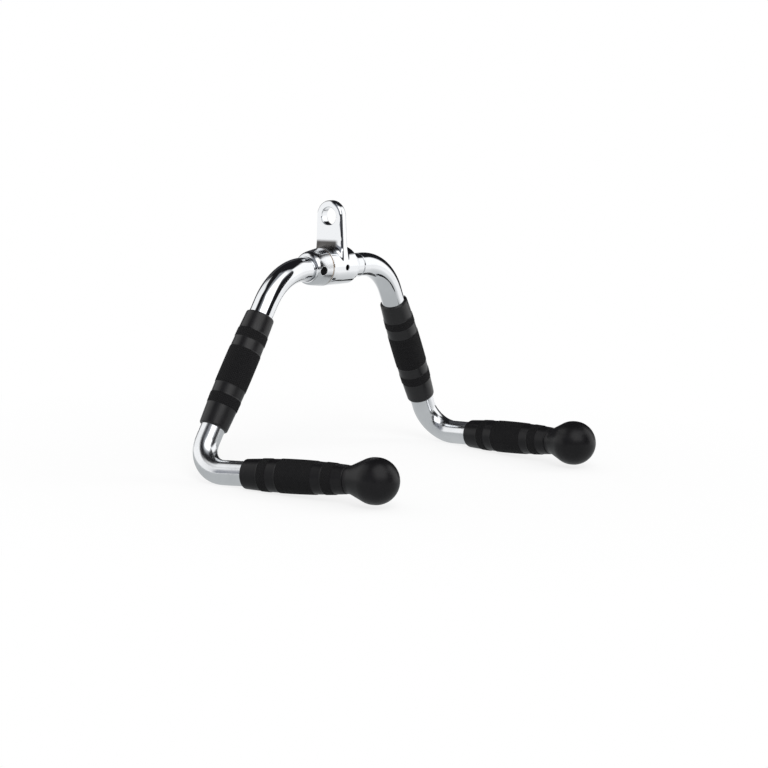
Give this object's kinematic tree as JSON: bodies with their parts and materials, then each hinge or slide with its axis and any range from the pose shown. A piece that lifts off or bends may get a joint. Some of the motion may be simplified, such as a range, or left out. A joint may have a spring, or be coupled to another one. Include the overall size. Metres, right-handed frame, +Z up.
{
  "type": "close grip row handle",
  "caption": "Cable machine row handle: two bent chromed tube arms with rubber leg grips and ball-ended handle grips, joined at a hub that carries a swivelling hanger lug with an eye.",
  "frame": {"origin": "under the middle of the part's box, on the surface that the part stands on", "axes": "+X along the hub from the lock cap to the stop collar, -Y out along the handles, +Z up"},
  "size_m": [0.4272, 0.2468, 0.2774],
  "materials": {
    "chrome": "polished chrome plating over steel",
    "bronze": "machined bronze, slightly dull",
    "black_steel": "black oxide on alloy steel",
    "plain_steel": "turned, unplated",
    "rubber": "moulded matt rubber with smooth satin bands"
  },
  "bodies": {
    "frame": {"left_arm_tube": "chrome", "right_arm_tube": "chrome", "hub_spindle": "chrome", "left_lock_cap": "chrome", "right_stop_collar": "chrome", "cap_set_screw": "black_steel", "left_leg_grip": "rubber", "right_leg_grip": "rubber", "left_handle_grip": "rubber", "right_handle_grip": "rubber", "left_ball_end": "rubber", "right_ball_end": "rubber", "left_tube_end_insert": "plain_steel", "right_tube_end_insert": "plain_steel", "left_ball_stud": "plain_steel", "right_ball_stud": "plain_steel"},
    "hanger": {"swivel_hanger": "chrome", "left_bushing": "bronze", "right_bushing": "bronze"}
  },
  "joints": [
    {"name": "hanger_swivel", "type": "hinge", "parent": "frame", "child": "hanger", "pos_m": [0, 0.10294, 0.2069], "axis": [1, 0, 0], "continuous": true}
  ]
}
